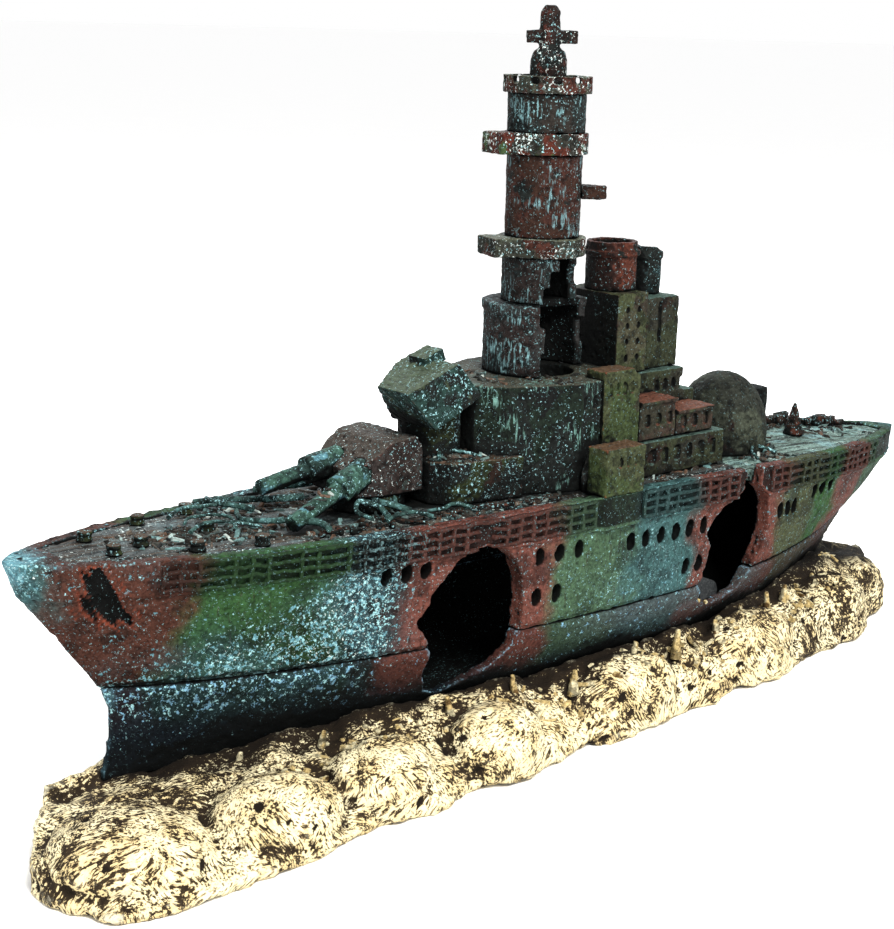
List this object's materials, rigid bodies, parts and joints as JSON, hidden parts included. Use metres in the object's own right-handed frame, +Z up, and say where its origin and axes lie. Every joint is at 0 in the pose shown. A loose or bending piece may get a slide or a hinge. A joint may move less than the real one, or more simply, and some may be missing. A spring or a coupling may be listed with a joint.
{
  "type": "bubbling ornament",
  "caption": "Aquarium ornament shaped as a broken battleship on a rock base, hollow inside, with a pull-out air bubbler fed by a hose.",
  "frame": {"origin": "centre of the bounding box in plan, on the flat underside of the rock base", "axes": "+X towards the stern, +Y to starboard, +Z up"},
  "size_m": [0.298, 0.092, 0.17],
  "materials": {
    "rock_base": "matt, cream rock with dark pits",
    "coral_tufts": "matt",
    "hull_pegs": "matt",
    "lower_hull": "matt painted casting",
    "forward_hull": "matt painted casting, rust and green",
    "stern_hull": "matt painted casting",
    "main_deck": "matt painted casting",
    "stern_deck": "matt painted casting",
    "bow_fittings": "matt painted resin casting",
    "fore_wreckage": "matt painted resin casting",
    "stern_wreckage": "matt painted resin casting",
    "gun_step": "matt painted resin casting",
    "turret_a_base": "matt painted resin casting",
    "turret_a_house": "matt painted resin casting",
    "turret_a_port_gun": "matt painted resin casting",
    "turret_a_starboard_gun": "matt painted resin casting",
    "turret_b_base": "matt painted resin casting",
    "turret_b_house": "matt painted resin casting",
    "bridge_block": "matt painted resin casting",
    "port_window_tower": "matt painted resin casting",
    "starboard_window_tower": "matt painted resin casting",
    "port_sponson": "matt painted resin casting",
    "starboard_sponson": "matt painted resin casting",
    "lower_deckhouse": "matt painted resin casting",
    "port_side_house": "matt painted resin casting",
    "starboard_side_house": "matt painted resin casting",
    "port_aft_house": "matt painted resin casting",
    "starboard_aft_house": "matt painted resin casting",
    "upper_deckhouse": "matt painted resin casting",
    "mid_house": "matt painted resin casting",
    "funnel_trunk": "matt painted resin casting",
    "forward_funnel": "matt painted resin casting",
    "aft_funnel": "matt painted resin casting",
    "tower_drum": "matt painted resin casting",
    "lower_shaft": "matt painted resin casting",
    "lower_platform": "matt painted resin casting",
    "middle_shaft": "matt painted resin casting",
    "middle_platform": "matt painted resin casting",
    "upper_shaft": "matt painted resin casting",
    "top_platform": "matt painted resin casting",
    "mast_finial": "matt painted resin casting",
    "rangefinder_arm": "matt painted resin casting",
    "mast_rod": "plain",
    "aft_turret_hood": "matt painted resin casting",
    "aft_turret_block": "matt painted resin casting",
    "air_sleeve": "satin",
    "bubbler_body": "satin",
    "cartridge_seal": "matt",
    "air_stone": "coarse sintered grit",
    "inlet_elbow": "satin white"
  },
  "bodies": {
    "ornament": {"rock_base": "rock_base", "coral_tufts": "coral_tufts", "hull_pegs": "hull_pegs", "lower_hull": "lower_hull", "forward_hull": "forward_hull", "stern_hull": "stern_hull", "main_deck": "main_deck", "stern_deck": "stern_deck", "bow_fittings": "bow_fittings", "fore_wreckage": "fore_wreckage", "stern_wreckage": "stern_wreckage", "gun_step": "gun_step", "turret_a_base": "turret_a_base", "turret_a_house": "turret_a_house", "turret_a_port_gun": "turret_a_port_gun", "turret_a_starboard_gun": "turret_a_starboard_gun", "turret_b_base": "turret_b_base", "turret_b_house": "turret_b_house", "bridge_block": "bridge_block", "port_window_tower": "port_window_tower", "starboard_window_tower": "starboard_window_tower", "port_sponson": "port_sponson", "starboard_sponson": "starboard_sponson", "lower_deckhouse": "lower_deckhouse", "port_side_house": "port_side_house", "starboard_side_house": "starboard_side_house", "port_aft_house": "port_aft_house", "starboard_aft_house": "starboard_aft_house", "upper_deckhouse": "upper_deckhouse", "mid_house": "mid_house", "funnel_trunk": "funnel_trunk", "forward_funnel": "forward_funnel", "aft_funnel": "aft_funnel", "tower_drum": "tower_drum", "lower_shaft": "lower_shaft", "lower_platform": "lower_platform", "middle_shaft": "middle_shaft", "middle_platform": "middle_platform", "upper_shaft": "upper_shaft", "top_platform": "top_platform", "mast_finial": "mast_finial", "rangefinder_arm": "rangefinder_arm", "mast_rod": "mast_rod", "aft_turret_hood": "aft_turret_hood", "aft_turret_block": "aft_turret_block", "air_sleeve": "air_sleeve"},
    "bubbler": {"bubbler_body": "bubbler_body", "cartridge_seal": "cartridge_seal", "air_stone": "air_stone"},
    "inlet": {"inlet_elbow": "inlet_elbow"}
  },
  "joints": [
    {"name": "bubbler_pull", "type": "slide", "parent": "ornament", "child": "bubbler", "axis": [0, 1, 0], "range_m": [0, 0.03]},
    {"name": "inlet_swivel", "type": "hinge", "parent": "bubbler", "child": "inlet", "pos_m": [0.064, 0.0325, 0.016], "axis": [0, 1, 0], "range_deg": [-60, 60]}
  ]
}
